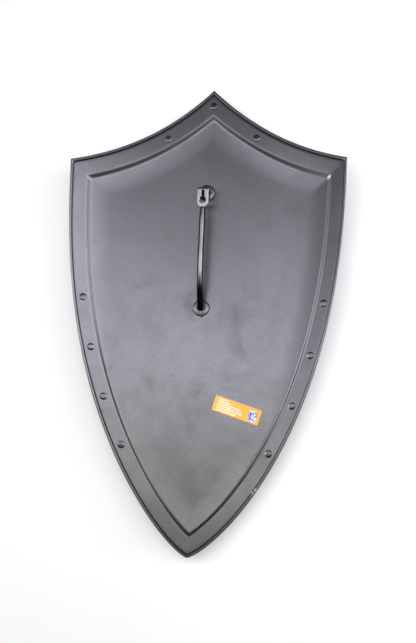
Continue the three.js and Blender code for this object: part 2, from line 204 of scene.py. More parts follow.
def meeting(top, side):
    a, ab = top[:-1, None], (top[1:] - top[:-1])[:, None]
    c, cd = side[None, :-1], (side[1:] - side[:-1])[None]
    scale = ab[..., 0] * cd[..., 1] - ab[..., 1] * cd[..., 0]
    scale = np.where(np.abs(scale) < 1e-12, 1e-12, scale)
    ac = c - a
    s = (ac[..., 0] * cd[..., 1] - ac[..., 1] * cd[..., 0]) / scale
    t = (ac[..., 0] * ab[..., 1] - ac[..., 1] * ab[..., 0]) / scale
    i, k = np.argwhere((s >= 0) & (s <= 1) & (t >= 0) & (t <= 1))[0]
    return i, k, top[i] + (top[i + 1] - top[i]) * s[i, k]


def evenly(path, count):
    lengths = np.concatenate([[0], np.cumsum(np.hypot(*np.diff(path, axis=0).T))])
    at = np.linspace(0, lengths[-1], count + 1)
    return np.stack([np.interp(at, lengths, path[:, 0]), np.interp(at, lengths, path[:, 1])], 1)


ring_store = {}


def ring_at(inset):
    key = round(inset, 4)
    if key not in ring_store:
        extra = TOP_BORDER_EXTRA * min(inset / BORDER_WIDTH, 1)
        top = from_centreline(inwards(top_path(160), inset + extra))
        side = from_centreline(inwards(side_path(320), inset)[::-1])[::-1]
        if inset > 0:
            i, k, meet = meeting(top, side)
            top = np.vstack([top[: i + 1], [meet]])
            side = np.vstack([[meet], side[k + 1:]])
        right = np.vstack([evenly(top, TOP_STEPS), evenly(side, SIDE_STEPS)[1:]])
        left = right[1:-1][::-1] * [-1, 1]
        ring_store[key] = np.vstack([right, left])
    return ring_store[key]


def smooth(edge0, edge1, value):
    t = np.clip((value - edge0) / (edge1 - edge0), 0, 1)
    return t * t * (3 - 2 * t)


def border_level(inset):
    return BORDER_BACK + BORDER_TILT_RISE * (1 - inset / BORDER_WIDTH)


def back_level(inset):
    cove = THICKNESS + COVE_RISE * max(0, (COVE_END - inset) / COVE_WIDTH) ** 1.6
    share = float(smooth(BORDER_WIDTH - STEP_SOFTNESS, STEP_FOOT + STEP_SOFTNESS, inset))
    return border_level(inset) * (1 - share) + cove * share


def front_level(inset):
    return back_level(inset + FRONT_STEP_SHIFT) - THICKNESS


def edge_point(turn):
    angle = math.radians(turn)
    middle = border_level(EDGE_RADIUS) - THICKNESS + EDGE_HEIGHT / 2
    return EDGE_RADIUS * (1 + math.cos(angle)), middle + EDGE_HEIGHT / 2 * math.sin(angle)


def cross_section():
    """(inset, height, 1 on the back and 0 on the front), from the front of the field round to its back."""
    cove = [COVE_END - i * COVE_WIDTH / 9 for i in range(9)]
    step = list(np.linspace(STEP_FOOT + STEP_SOFTNESS, BORDER_WIDTH - STEP_SOFTNESS, 13))
    border = list(np.linspace(BORDER_WIDTH - STEP_SOFTNESS, 5.0, 7))[1:]
    rows = [(i, front_level(i), 0) for i in cove + step + border]
    rows += [(*edge_point(turn), 0) for turn in range(270, 180, -18)]
    rows += [(*edge_point(turn), 1) for turn in range(180, -19, -18)]
    rows += [(i, border_level(i) - depth, 1) for i, depth in CREVICE]
    rows += [(i, back_level(i), 1) for i in border[::-1] + step[::-1] + cove[::-1]]
    return rows


def wave(x, y):
    """The sheet's slight unevenness, in millimetres."""
    far = noise.noise(Vector((x / 95, y / 120, 3.1)))
    near = noise.noise(Vector((x / 38, y / 46, 7.7)))
    return 0.12 * far + 0.02 * near


def mesh_object(name, verts, faces, material, sharp, merge=None):
    mesh = bpy.data.meshes.new(name)
    mesh.from_pydata([tuple(v) for v in verts], [], [tuple(f) for f in faces])
    mesh.validate()
    bm = bmesh.new()
    bm.from_mesh(mesh)
    if merge:
        bmesh.ops.remove_doubles(bm, verts=bm.verts, dist=merge)
    bmesh.ops.recalc_face_normals(bm, faces=bm.faces)
    bm.to_mesh(mesh)
    bm.free()
    mesh.shade_smooth()
    mesh.set_sharp_from_angle(angle=math.radians(sharp))
    obj = bpy.data.objects.new(name, mesh)
    bpy.context.scene.collection.objects.link(obj)
    mesh.materials.append(material)
    return obj


def build_plate(material):
    rows = cross_section()
    size = len(ring_at(0.0))
    rings, marks = [], []

    def field(is_back, order):
        outer = ring_at(COVE_END)
        across = CROSS_HALF * math.sqrt(REST_FLAT_DEPTH / CROSS_RISE)
        along = LENGTH_HALF * math.sqrt(REST_FLAT_DEPTH / LENGTH_RISE)
        turn = np.arctan2((outer[:, 1] - LOWEST_Y) / along, outer[:, 0] / across)
        inner = np.stack([across * np.cos(turn), LOWEST_Y + along * np.sin(turn)], 1)
        centre = np.array([[0.0, LOWEST_Y]])
        plans = [outer + (inner - outer) * (i / 16) for i in range(1, 17)]
        plans += [inner + (centre - inner) * (i / 5) for i in range(1, 5)]
        for plan in plans[::order]:
            x, y = plan.T
            z = back_z(x, y, THICKNESS) if is_back else front_z(x, y, 0)
            rings.append(np.stack([x, y, z], 1))
            marks.append((FIELD_INSET, is_back))

    field(0, -1)
    for inset, height, is_back in rows:
        x, y = ring_at(inset).T
        z = back_z(x, y, height) if is_back else front_z(x, y, height)
        rings.append(np.stack([x, y, z], 1))
        marks.append((inset, is_back))
    field(1, 1)
    verts = np.vstack(rings)
    inset_of = np.repeat([m[0] for m in marks], size)
    back_of = np.repeat([m[1] for m in marks], size)
    fade = smooth(6, 30, inset_of)
    for i in np.flatnonzero(back_of == 1):
        verts[i, 2] += wave(verts[i, 0], verts[i, 1]) * fade[i]
    back_middle = float(back_z(0, LOWEST_Y, THICKNESS)) + wave(0, LOWEST_Y)
    verts = np.vstack([verts, [[0, LOWEST_Y, 0], [0, LOWEST_Y, back_middle]]])
    inset_of = np.concatenate([inset_of, [FIELD_INSET, FIELD_INSET]])
    back_of = np.concatenate([back_of, [0, 1]])
    faces = []
    ring_count = len(rings)
    for r in range(ring_count - 1):
        for k in range(size):
            n = (k + 1) % size
            faces.append((r * size + k, r * size + n, (r + 1) * size + n, (r + 1) * size + k))
    last = (ring_count - 1) * size
    for k in range(size):
        n = (k + 1) % size
        faces.append((len(verts) - 2, n, k))
        faces.append((len(verts) - 1, last + k, last + n))
    obj = mesh_object("plate", verts * MM, faces, material, sharp=55)
    for name, values in (("inset", inset_of), ("back", back_of)):
        layer = obj.data.attributes.new(name, "FLOAT", "POINT")
        layer.data.foreach_set("value", np.asarray(values, dtype=np.float32))
    return obj


# Node materials

class Nodes:
    """A small helper for one material's node tree."""

    def __init__(self, name):
        self.material = bpy.data.materials.new(name)
        self.material.use_nodes = True
        self.tree = self.material.node_tree
        self.tree.nodes.clear()
        self.shader = self.add("ShaderNodeBsdfPrincipled")
        self.output = self.add("ShaderNodeOutputMaterial")
        self.link(self.shader.outputs[0], self.output.inputs["Surface"])
        coordinates = self.add("ShaderNodeTexCoord")
        self.place = coordinates.outputs["Object"]

    def add(self, kind, **settings):
        node = self.tree.nodes.new(kind)
        for key, value in settings.items():
            setattr(node, key, value)
        return node

    def link(self, start, end):
        self.tree.links.new(start, end)

    def feed(self, socket, value):
        if isinstance(value, bpy.types.NodeSocket):
            self.link(value, socket)
        else:
            socket.default_value = value

    def math(self, operation, a, b=0.0, clamp=False):
        node = self.add("ShaderNodeMath", operation=operation, use_clamp=clamp)
        self.feed(node.inputs[0], a)
        self.feed(node.inputs[1], b)
        return node.outputs[0]

    def noise(self, scale, detail=3.0, roughness=0.55, vector=None):
        node = self.add("ShaderNodeTexNoise")
        self.link(vector or self.place, node.inputs["Vector"])
        node.inputs["Scale"].default_value = scale
        node.inputs["Detail"].default_value = detail
        node.inputs["Roughness"].default_value = roughness
        return node.outputs["Fac"]

    def stretch(self, scale, offset=(0, 0, 0)):
        node = self.add("ShaderNodeMapping")
        self.link(self.place, node.inputs["Vector"])
        node.inputs["Scale"].default_value = scale
        node.inputs["Location"].default_value = offset
        return node.outputs[0]

    def span(self, value, low, high, to_low=0.0, to_high=1.0, smooth_ends=False):
        node = self.add("ShaderNodeMapRange", clamp=True)
        if smooth_ends:
            node.interpolation_type = "SMOOTHSTEP"
        self.feed(node.inputs["Value"], value)
        node.inputs["From Min"].default_value = low
        node.inputs["From Max"].default_value = high
        node.inputs["To Min"].default_value = to_low
        node.inputs["To Max"].default_value = to_high
        return node.outputs["Result"]

    def mix(self, share, a, b):
        node = self.add("ShaderNodeMix", data_type="RGBA")
        self.feed(node.inputs[0], share)
        for socket, value in ((node.inputs[6], a), (node.inputs[7], b)):
            if isinstance(value, tuple):
                socket.default_value = (*value, 1.0)
            else:
                self.link(value, socket)
        return node.outputs[2]

    def axis(self, name, vector=None):
        node = self.add("ShaderNodeSeparateXYZ")
        self.link(vector or self.place, node.inputs[0])
        return node.outputs[name]

    def attribute(self, name):
        node = self.add("ShaderNodeAttribute", attribute_name=name)
        return node.outputs["Fac"]

    def distance(self, point):
        node = self.add("ShaderNodeVectorMath", operation="DISTANCE")
        self.link(self.place, node.inputs[0])
        node.inputs[1].default_value = point
        return node.outputs["Value"]

    def plan_distance(self, x, y):
        """Distance from a point as seen from straight above."""
        flat = self.add("ShaderNodeVectorMath", operation="MULTIPLY")
        self.link(self.place, flat.inputs[0])
        flat.inputs[1].default_value = (1, 1, 0)
        away = self.add("ShaderNodeVectorMath", operation="DISTANCE")
        self.link(flat.outputs[0], away.inputs[0])
        away.inputs[1].default_value = (x, y, 0)
        return away.outputs["Value"]

    def band(self, value, middle, near, far):
        """1 within near of the middle value, and 0 beyond far from it."""
        away = self.math("ABSOLUTE", self.math("SUBTRACT", value, middle))
        return self.math("SUBTRACT", 1.0, self.span(away, near, far), clamp=True)

    def bump(self, height, strength, distance, normal=None):
        node = self.add("ShaderNodeBump")
        node.inputs["Strength"].default_value = strength
        node.inputs["Distance"].default_value = distance
        self.link(height, node.inputs["Height"])
        if normal:
            self.link(normal, node.inputs["Normal"])
        return node.outputs["Normal"]


# plan points in metres
CHIPS = ((0.0813, -0.2159), (0.0779, -0.2198))


def washer_rings(n):
    """Dark rings on the plate just outside both washers."""
    darkening = None
    for foot_y, reach in ((LOWER_FOOT_Y, 0.88), (UPPER_FOOT_Y, 0.8)):
        from_foot = n.distance((HANDLE_X * MM, foot_y * MM, field_z(foot_y, 0) * MM))
        uneven = n.math("ADD", from_foot, n.span(n.noise(260.0), 0.3, 0.7, -0.0005, 0.0005))
        start = WASHER_RADIUS + 0.35
        ring = n.span(uneven, start * MM, (start + reach) * MM, 1.0, 0.0)
        darkening = ring if darkening is None else n.math("MAXIMUM", darkening, ring)
    return darkening


def chipped(n, inset):
    """Bright chips on the rolled edge."""
    chips = None
    for x, y in CHIPS:
        ragged = n.math("ADD", n.plan_distance(x, y), n.span(n.noise(700.0), 0.3, 0.7, -0.0012, 0.0012))
        spot = n.span(ragged, 0.0014, 0.0022, 1.0, 0.0)
        chips = spot if chips is None else n.math("MAXIMUM", chips, spot)
    return n.math("MULTIPLY", chips, n.span(inset, 6.5, 7.5, 1.0, 0.0))


def plate_material():
    n = Nodes("plate_steel")
    y = n.axis("Y")
    broad = n.noise(9.0, 3.0, 0.5)
    cloud = n.noise(34.0, 4.0, 0.6)
    grain = n.noise(420.0, 4.0, 0.7)
    speck = n.noise(900.0, 2.0, 0.6)
    cool = n.mix(n.span(broad, 0.3, 0.7), (0.300, 0.303, 0.346), (0.336, 0.338, 0.384))
    warm = n.mix(n.span(broad, 0.3, 0.7), (0.262, 0.250, 0.243), (0.300, 0.286, 0.276))
    patchy = n.span(cloud, 0.3, 0.7, -0.18, 0.18)
    low_part = n.math("ADD", n.span(y, -0.06, -0.22), patchy, clamp=True)
    base = n.mix(low_part, cool, warm)
    grained = n.math("MULTIPLY", n.span(grain, 0.36, 0.64), n.span(y, -0.06, -0.22, 0.30, 0.60))
    base = n.mix(grained, base, (0.20, 0.20, 0.225))
    stain = n.noise(21.0, 5.0, 0.62, n.stretch((1.0, 0.7, 1.0), offset=(0.7, 0.2, 0)))
    base = n.mix(n.span(stain, 0.56, 0.74, 0.0, 0.18), base, (0.19, 0.180, 0.180))
    inset = n.attribute("inset")
    # painted shade: the border band is darkened towards its top and bottom ends
    ends = n.math("MAXIMUM", n.span(y, 0.16, 0.23), n.span(y, -0.22, -0.28))
    border = n.math("MULTIPLY", n.span(inset, 21.0, 25.0, 1.0, 0.0), ends)
    base = n.mix(n.math("MULTIPLY", border, 0.5), base, (0.10, 0.10, 0.108))
    # painted shade: the crevice beside the rolled edge is painted near black and made less metallic
    crevice_shade = n.band(inset, CREVICE_INSET, 0.1, 0.55)
    base = n.mix(n.math("MULTIPLY", crevice_shade, 0.93), base, (0.02, 0.02, 0.025))
    # painted shade: a dark line along the crease at the foot of the step, stronger towards the bottom,
    # brownish on the left and grey on the right
    foot = n.band(inset, STEP_CREASE_SHADE_INSET, 0.3, 1.2)
    crease_shade_strength = n.math("ADD", n.span(y, 0.0, -0.07, 0.15, 1.0), n.span(cloud, 0.3, 0.7, -0.1, 0.15))
    crease_shade_colour = n.mix(n.span(n.axis("X"), -0.03, 0.03), (0.060, 0.040, 0.028), (0.026, 0.022, 0.020))
    base = n.mix(n.math("MULTIPLY", foot, crease_shade_strength), base, crease_shade_colour)
    darkening = washer_rings(n)
    base = n.mix(n.math("MULTIPLY", darkening, 0.95), base, (0.010, 0.010, 0.016))
    chips = chipped(n, inset)
    base = n.mix(chips, base, (0.85, 0.85, 0.86))
    n.feed(n.shader.inputs["Base Color"], base)
    dull = n.math("MAXIMUM", chips, n.math("MULTIPLY", crevice_shade, 0.6))
    n.feed(n.shader.inputs["Metallic"], n.math("SUBTRACT", 0.97, dull, clamp=True))
    rough = n.span(cloud, 0.25, 0.75, 0.30, 0.36)
    rough = n.math("ADD", rough, n.span(grain, 0.2, 0.8, -0.03, 0.04))
    rough = n.math("ADD", rough, n.span(stain, 0.56, 0.72, 0.0, 0.06))
    rough = n.math("MAXIMUM", rough, n.math("MULTIPLY", n.math("MAXIMUM", crevice_shade, darkening), 0.7))
    n.feed(n.shader.inputs["Roughness"], rough)
    first = n.bump(grain, 0.16, 0.0004)
    n.feed(n.shader.inputs["Normal"], n.bump(speck, 0.10, 0.0002, first))
    return n.material


def steel_material(name, dark, light, rough, grain_scale=500.0, streak=None):
    n = Nodes(name)
    cloud = n.noise(60.0, 4.0, 0.6)
    grain = n.noise(grain_scale, 4.0, 0.65)
    base = n.mix(n.span(cloud, 0.3, 0.7), dark, light)
    if streak:
        lines = n.noise(220.0, 3.0, 0.6, n.stretch(streak))
        base = n.mix(n.span(lines, 0.4, 0.75, 0.0, 0.25), base, dark)
    n.feed(n.shader.inputs["Base Color"], base)
    n.shader.inputs["Metallic"].default_value = 1.0
    uneven = n.span(cloud, 0.3, 0.7, rough - 0.03, rough + 0.03)
    n.feed(n.shader.inputs["Roughness"], n.math("ADD", uneven, n.span(grain, 0.2, 0.8, -0.03, 0.03)))
    n.feed(n.shader.inputs["Normal"], n.bump(grain, 0.12, 0.0004))
    return n.material


def rod_material():
    n = Nodes("rod_steel")
    cloud = n.noise(60.0, 4.0, 0.6)
    grain = n.noise(700.0, 4.0, 0.65)
    lines = n.noise(220.0, 3.0, 0.6, n.stretch((1.0, 0.12, 1.0)))
    base = n.mix(n.span(cloud, 0.3, 0.7), (0.31, 0.31, 0.33), (0.40, 0.40, 0.42))
    base = n.mix(n.span(lines, 0.4, 0.75, 0.0, 0.3), base, (0.24, 0.24, 0.26))
    # painted shade: the rod's lower bend down to the foot is painted brown and then black
    darkening = n.math("ADD", n.axis("Y"), n.span(cloud, 0.3, 0.7, -0.004, 0.004))
    brown = n.span(darkening, 0.042, 0.062, 1.0, 0.0, True)
    black = n.span(darkening, 0.036, 0.048, 1.0, 0.0, True)
    # painted shade: the rod's sides and underside are painted near black, and its top is left bright as a
    # painted highlight
    side_shade = n.math("ADD", n.attribute("side_shade"), n.span(lines, 0.3, 0.7, -0.08, 0.08))
    base = n.mix(n.span(side_shade, 0.38, 0.62, 0.0, 0.96, True), base, (0.010, 0.009, 0.014))
    base = n.mix(n.math("MULTIPLY", brown, 0.75), base, (0.16, 0.12, 0.09))
    base = n.mix(n.math("MULTIPLY", black, 0.97), base, (0.012, 0.012, 0.014))
    n.feed(n.shader.inputs["Base Color"], base)
    n.shader.inputs["Metallic"].default_value = 1.0
    rough = n.math("ADD", n.span(cloud, 0.3, 0.7, 0.26, 0.32), n.math("MULTIPLY", black, 0.25))
    n.feed(n.shader.inputs["Roughness"], rough)
    n.feed(n.shader.inputs["Normal"], n.bump(grain, 0.04, 0.0004))
    return n.material


def washer_material(name, dark, light, shadow_point):
    """Plain washer steel; the optional plan point in millimetres is where painted shadow blackens the
    washer, if one is given.
    """
    n = Nodes(name)
    cloud = n.noise(90.0, 4.0, 0.6)
    grain = n.noise(600.0, 4.0, 0.65)
    base = n.mix(n.span(cloud, 0.3, 0.7), dark, light)
    if shadow_point:
        # painted shadow: the washer is blackened within about a centimetre of the given point, beside the
        # paddle's bend
        away = n.plan_distance(shadow_point[0] * MM, shadow_point[1] * MM)
        ragged = n.math("ADD", away, n.span(n.noise(300.0), 0.3, 0.7, -0.001, 0.001))
        base = n.mix(n.span(ragged, 0.0095, 0.0120, 0.97, 0.0), base, (0.008, 0.008, 0.010))
    n.feed(n.shader.inputs["Base Color"], base)
    n.shader.inputs["Metallic"].default_value = 1.0
    n.feed(n.shader.inputs["Roughness"], n.span(cloud, 0.3, 0.7, 0.32, 0.40))
    n.feed(n.shader.inputs["Normal"], n.bump(grain, 0.12, 0.0004))
    return n.material


def weld_material():
    n = Nodes("weld_steel")
    cloud = n.noise(260.0, 4.0, 0.6)
    base = n.mix(n.span(cloud, 0.35, 0.65), (0.05, 0.048, 0.05), (0.30, 0.29, 0.29))
    n.feed(n.shader.inputs["Base Color"], base)
    n.shader.inputs["Metallic"].default_value = 0.85
    n.feed(n.shader.inputs["Roughness"], n.span(cloud, 0.3, 0.7, 0.35, 0.6))
    n.feed(n.shader.inputs["Normal"], n.bump(n.noise(900.0), 0.4, 0.0005))
    return n.material


STROKE_ROWS = 6
STROKE_PITCH = 0.0029
STROKE_ENDS = (0.001, 0.008, 0.007, 0.004, -0.009, -0.013)


def sticker_material():
    n = Nodes("sticker_paper")
    turned = n.add("ShaderNodeMapping", vector_type="TEXTURE")
    n.link(n.place, turned.inputs["Vector"])
    turned.inputs["Location"].default_value = (STICKER_X * MM, STICKER_Y * MM, 0)
    turned.inputs["Rotation"].default_value = (0, 0, STICKER_TURN)
    u = n.axis("X", turned.outputs[0])
    v = n.axis("Y", turned.outputs[0])
    tone = n.noise(55.0, 3.0, 0.5)
    base = n.mix(n.span(tone, 0.3, 0.7), (0.93, 0.42, 0.035), (0.98, 0.48, 0.060))
    base = n.mix(n.span(v, -0.010, 0.010, 0.25, 0.0), base, (1.0, 0.56, 0.13))
    # rows of pale strokes on the left part, of uneven length
    shifted = n.math("DIVIDE", n.math("ADD", v, STROKE_ROWS * STROKE_PITCH / 2 + 0.0002), STROKE_PITCH)
    row = n.math("ABSOLUTE", n.math("SUBTRACT", n.math("FRACT", shifted), 0.5))
    in_row = n.span(row, 0.20, 0.34, 1.0, 0.0)
    row_number = n.math("FLOOR", shifted)
    joined_up = n.add("ShaderNodeCombineXYZ")
    n.link(n.math("MULTIPLY", u, 700.0), joined_up.inputs["X"])
    n.link(n.math("MULTIPLY", row_number, 7.31), joined_up.inputs["Y"])
    dashes = n.add("ShaderNodeTexNoise")
    n.link(joined_up.outputs[0], dashes.inputs["Vector"])
    dashes.inputs["Scale"].default_value = 1.0
    dashes.inputs["Detail"].default_value = 1.0
    stroke = n.span(dashes.outputs["Fac"], 0.34, 0.46)
    strokes = None
    for number, end in enumerate(STROKE_ENDS):
        here = n.math("COMPARE", row_number, float(number))
        here = n.math("MULTIPLY", here, n.math("LESS_THAN", u, end))
        strokes = here if strokes is None else n.math("ADD", strokes, here)
    strokes = n.math("MULTIPLY", strokes, n.math("GREATER_THAN", u, -0.0275))
    strokes = n.math("MULTIPLY", n.math("MULTIPLY", in_row, stroke), strokes)
    base = n.mix(strokes, base, (1.0, 0.90, 0.72))
    # plain blotched mark on the right part
    du = n.math("DIVIDE", n.math("SUBTRACT", u, 0.0225), 0.0062)
    dv = n.math("DIVIDE", n.math("ADD", v, 0.0008), 0.0078)
    reach = n.math("ADD", n.math("MULTIPLY", du, du), n.math("MULTIPLY", dv, dv))
    reach = n.math("ADD", reach, n.span(n.noise(420.0, 2.0, 0.5), 0.3, 0.7, -0.7, 0.5))
    patch = n.span(reach, 0.75, 1.0, 1.0, 0.0)
    blotch = n.noise(330.0, 2.0, 0.5)
    tint = n.mix(n.span(blotch, 0.42, 0.50), (0.12, 0.14, 0.52), (0.36, 0.46, 0.98))
    tint = n.mix(n.span(blotch, 0.52, 0.60), tint, (0.92, 0.93, 1.0))
    base = n.mix(patch, base, tint)
    n.feed(n.shader.inputs["Base Color"], base)
    n.feed(n.shader.inputs["Roughness"], n.span(tone, 0.3, 0.7, 0.42, 0.52))
    n.feed(n.shader.inputs["Normal"], n.bump(n.noise(180.0), 0.08, 0.0003))
    return n.material


def floor_material():
    n = Nodes("pale_floor")
    tone = n.noise(2.0, 2.0, 0.5)
    base = n.mix(n.span(tone, 0.3, 0.7), (0.86, 0.86, 0.865), (0.88, 0.88, 0.885))
    # painted light: the floor is pale only near the middle and painted dark further out, a painted pool of
    # light
    away = n.distance((0, 0, 0))
    base = n.mix(n.span(away, 0.9, 3.4, 0.0, 1.0, True), base, (0.10, 0.10, 0.105))
    n.feed(n.shader.inputs["Base Color"], base)
    n.shader.inputs["Roughness"].default_value = 0.9
    n.shader.inputs["Specular IOR Level"].default_value = 0.0
    return n.material


# Rivets

def lathe(profile, sides):
    """Turns (radius, height) pairs about Z, with a point at each end where the radius is 0."""
    verts, faces, rings = [], [], []
    for radius, height in profile:
        if radius == 0:
            rings.append([len(verts)])
            verts.append((0, 0, height))
        else:
            rings.append(list(range(len(verts), len(verts) + sides)))
            for k in range(sides):
                turn = 2 * math.pi * k / sides
                verts.append((radius * math.cos(turn), radius * math.sin(turn), height))
    for a, b in zip(rings, rings[1:]):
        for k in range(sides):
            n = (k + 1) % sides
            if len(a) == 1:
                faces.append((a[0], b[k], b[n]))
            elif len(b) == 1:
                faces.append((a[k], a[n], b[0]))
            else:
                faces.append((a[k], a[n], b[n], b[k]))
    return verts, faces


def sheet_matrix(x, y, height):
    dx, dy = slope(x, y)
    up = Vector((-dx, -dy, 1)).normalized()
    side = Vector((0, 1, 0)).cross(up).normalized()
    along = up.cross(side)
    spot = Vector((x, y, float(back_z(x, y, height))))
    return Matrix.Translation(spot) @ Matrix((side, along, up)).transposed().to_4x4()


def node_middle(name):
    low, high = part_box(name)
    return (low + high) / 2


RIVET_LEANS = {
    # way that the head's higher side faces, in degrees from +X, and its rise across the head in millimetres
    "rivet_left_1": (-100, 0.55),
    "rivet_left_2": (110, 0.30),
    "rivet_left_3": (130, 0.35),
    "rivet_left_4": (80, 0.60),
    "rivet_right_1": (200, 0.35),
    "rivet_right_2": (70, 0.40),
    "rivet_right_3": (60, 0.55),
    "rivet_right_4": (60, 0.60),
    "rivet_peak": (-70, 0.35),
    "rivet_top_left": (-60, 0.35),
    "rivet_top_right": (-110, 0.35),
}
TOP_RIVETS = ("rivet_peak", "rivet_top_left", "rivet_top_right")


def build_rivet(name, seed):
    half = THICKNESS / 2
    draw = random.Random(seed)
    dimple = draw.uniform(0.03, 0.12)
    top = half + RIVET_DOME
    back = [
        (RIVET_RADIUS * 0.99, half - 0.5),
        (RIVET_RADIUS, half + 0.02),
        (RIVET_RADIUS * 0.97, half + RIVET_DOME * 0.22),
        (RIVET_RADIUS * 0.90, half + RIVET_DOME * 0.46),
        (RIVET_RADIUS * 0.78, half + RIVET_DOME * 0.68),
        (RIVET_RADIUS * 0.62, half + RIVET_DOME * 0.84),
        (RIVET_RADIUS * 0.44, half + RIVET_DOME * 0.94),
        (RIVET_RADIUS * 0.24, top - dimple * 0.4),
        (RIVET_RADIUS * 0.12, top - dimple),
        (0, top - dimple),
    ]
    under = half + RIVET_SEAT_GAP
    front = [
        (0, -under - RIVET_FRONT_HEIGHT),
        (RIVET_FRONT_RADIUS * 0.35, -under - RIVET_FRONT_HEIGHT * 0.94),
        (RIVET_FRONT_RADIUS * 0.65, -under - RIVET_FRONT_HEIGHT * 0.77),
        (RIVET_FRONT_RADIUS * 0.88, -under - RIVET_FRONT_HEIGHT * 0.45),
        (RIVET_FRONT_RADIUS, -under - 0.1),
        (RIVET_FRONT_RADIUS * 0.98, -half + 0.35),
        (RIVET_SHANK_RADIUS, -half + 0.35),
        (RIVET_SHANK_RADIUS, half - 0.5),
    ]
    verts, faces = lathe(front + back, RIVET_SIDES)
    way, rise = RIVET_LEANS[name]
    way = math.radians(way)
    leaning = []
    for x, y, z in verts:
        if z > half:
            across = (x * math.cos(way) + y * math.sin(way)) / RIVET_RADIUS
            z += rise / 2 * across * min((z - half) / RIVET_DOME * 2, 1)
        leaning.append((x, y, z))
    middle = node_middle(name)
    x, y = middle.x / MM, middle.y / MM
    inset = RIVET_TOP_INSET if name in TOP_RIVETS else RIVET_SIDE_INSET
    return leaning, faces, sheet_matrix(x, y, border_level(inset) - THICKNESS / 2)


def add_rivet(name, material, seed):
    verts, faces, spot = build_rivet(name, seed)
    placed = [tuple((spot @ Vector(v)) * MM) for v in verts]
    dress(mesh_object(name.replace("rivet", "rivet_head"), placed, faces, material, sharp=60), name)


# Handle

def field_z(y, rise):
    return float(front_z(HANDLE_X, y, THICKNESS + rise))


def spline(points, count):
    """Points evenly spread along a smooth curve through the given ones."""
    padded = [points[0] * 2 - points[1], *points, points[-1] * 2 - points[-2]]
    made = []
    for i in range(1, len(padded) - 2):
        p0, p1, p2, p3 = padded[i - 1:i + 3]
        t0, t1 = 0.0, (p1 - p0).length ** 0.5
        t2 = t1 + (p2 - p1).length ** 0.5
        t3 = t2 + (p3 - p2).length ** 0.5
        for k in range(24):
            t = t1 + (t2 - t1) * k / 24
            a1 = p0 * ((t1 - t) / (t1 - t0)) + p1 * ((t - t0) / (t1 - t0))
            a2 = p1 * ((t2 - t) / (t2 - t1)) + p2 * ((t - t1) / (t2 - t1))
            a3 = p2 * ((t3 - t) / (t3 - t2)) + p3 * ((t - t2) / (t3 - t2))
            b1 = a1 * ((t2 - t) / (t2 - t0)) + a2 * ((t - t0) / (t2 - t0))
            b2 = a2 * ((t3 - t) / (t3 - t1)) + a3 * ((t - t1) / (t3 - t1))
            made.append(b1 * ((t2 - t) / (t2 - t1)) + b2 * ((t - t1) / (t2 - t1)))
    made.append(points[-1])
    line = np.array([tuple(p) for p in made])
    lengths = np.concatenate([[0], np.cumsum(np.linalg.norm(np.diff(line, axis=0), axis=1))])
    at = np.linspace(0, lengths[-1], count)
    return [Vector([np.interp(s, lengths, line[:, k]) for k in range(3)]) for s in at]


PADDLE_TOP_Y = UPPER_FOOT_Y + PADDLE_THICKNESS / 2
PADDLE_FOOT_Y = PADDLE_TOP_Y - PADDLE_LENGTH


def tube(path, radii, sides):
    """Closed tube along a path; its first side point lies at +X, and the quarter point on top."""
    verts, faces = [], []
    side = Vector((1, 0, 0))
    for i, (point, (wide, tall)) in enumerate(zip(path, radii)):
        run = (path[min(i + 1, len(path) - 1)] - path[max(i - 1, 0)]).normalized()
        across = (side - run * side.dot(run)).normalized()
        up = across.cross(run)
        for k in range(sides):
            turn = 2 * math.pi * k / sides
            verts.append(point + across * (wide * math.cos(turn)) + up * (tall * math.sin(turn)))
    for i in range(len(path) - 1):
        for k in range(sides):
            n = (k + 1) % sides
            faces.append((i * sides + k, i * sides + n, (i + 1) * sides + n, (i + 1) * sides + k))
    faces.append(tuple(range(sides))[::-1])
    faces.append(tuple((len(path) - 1) * sides + k for k in range(sides)))
    return verts, faces


def rod_shape():
    span = PADDLE_FOOT_Y - LOWER_FOOT_Y
    lower_end = PADDLE_RISE - PADDLE_LENGTH * math.tan(math.radians(PADDLE_TILT)) + 0.4
    stops = [
        (0.004, ROD_RADIUS * 0.62),
        (0.02, GRIP_RISE * 0.24),
        (0.1, GRIP_RISE * 0.49),
        (0.24, GRIP_RISE * 0.8),
        (0.45, GRIP_RISE * 0.96),
        (0.7, GRIP_RISE),
        (0.97, lower_end - 0.2),
        (1.045, lower_end + 0.5),
    ]
    points = []
    for share, rise in stops:
        y = LOWER_FOOT_Y + span * share
        points.append(Vector((HANDLE_X, y, field_z(y, rise))))
    path = spline(points, 170)
    radii = []
    for i in range(len(path)):
        part = i / (len(path) - 1)
        flat = float(smooth(0.93, 1.0, part))
        narrow = float(smooth(0.84, 0.97, part))
        radii.append((ROD_RADIUS - 1.0 * narrow, ROD_RADIUS - 0.5 * narrow - 2.1 * flat))
    return tube(path, radii, ROD_SIDES)


def keyhole_outline():
    """The keyhole in the paddle's own plane, (across, along from the neck end of the flat part)."""
    hole = PADDLE_LENGTH - KEYHOLE_FROM_TOP
    slot = PADDLE_LENGTH - KEYHOLE_SLOT_TOP - KEYHOLE_SLOT / 2
    half = KEYHOLE_SLOT / 2
    opening = math.asin(half / KEYHOLE_RADIUS)
    points = []
    for k in range(25):
        turn = math.pi * k / 24
        points.append((half * math.cos(turn), slot + half * math.sin(turn)))
    joint = hole + KEYHOLE_RADIUS * math.cos(opening)
    points += [(-half, slot + (joint - slot) * k / 12) for k in range(1, 12)]
    for k in range(61):
        turn = math.pi / 2 + opening + (2 * math.pi - 2 * opening) * k / 60
        points.append((KEYHOLE_RADIUS * math.cos(turn), hole + KEYHOLE_RADIUS * math.sin(turn)))
    points += [(half, joint + (slot - joint) * k / 12) for k in range(1, 12)]
    return np.array(points)


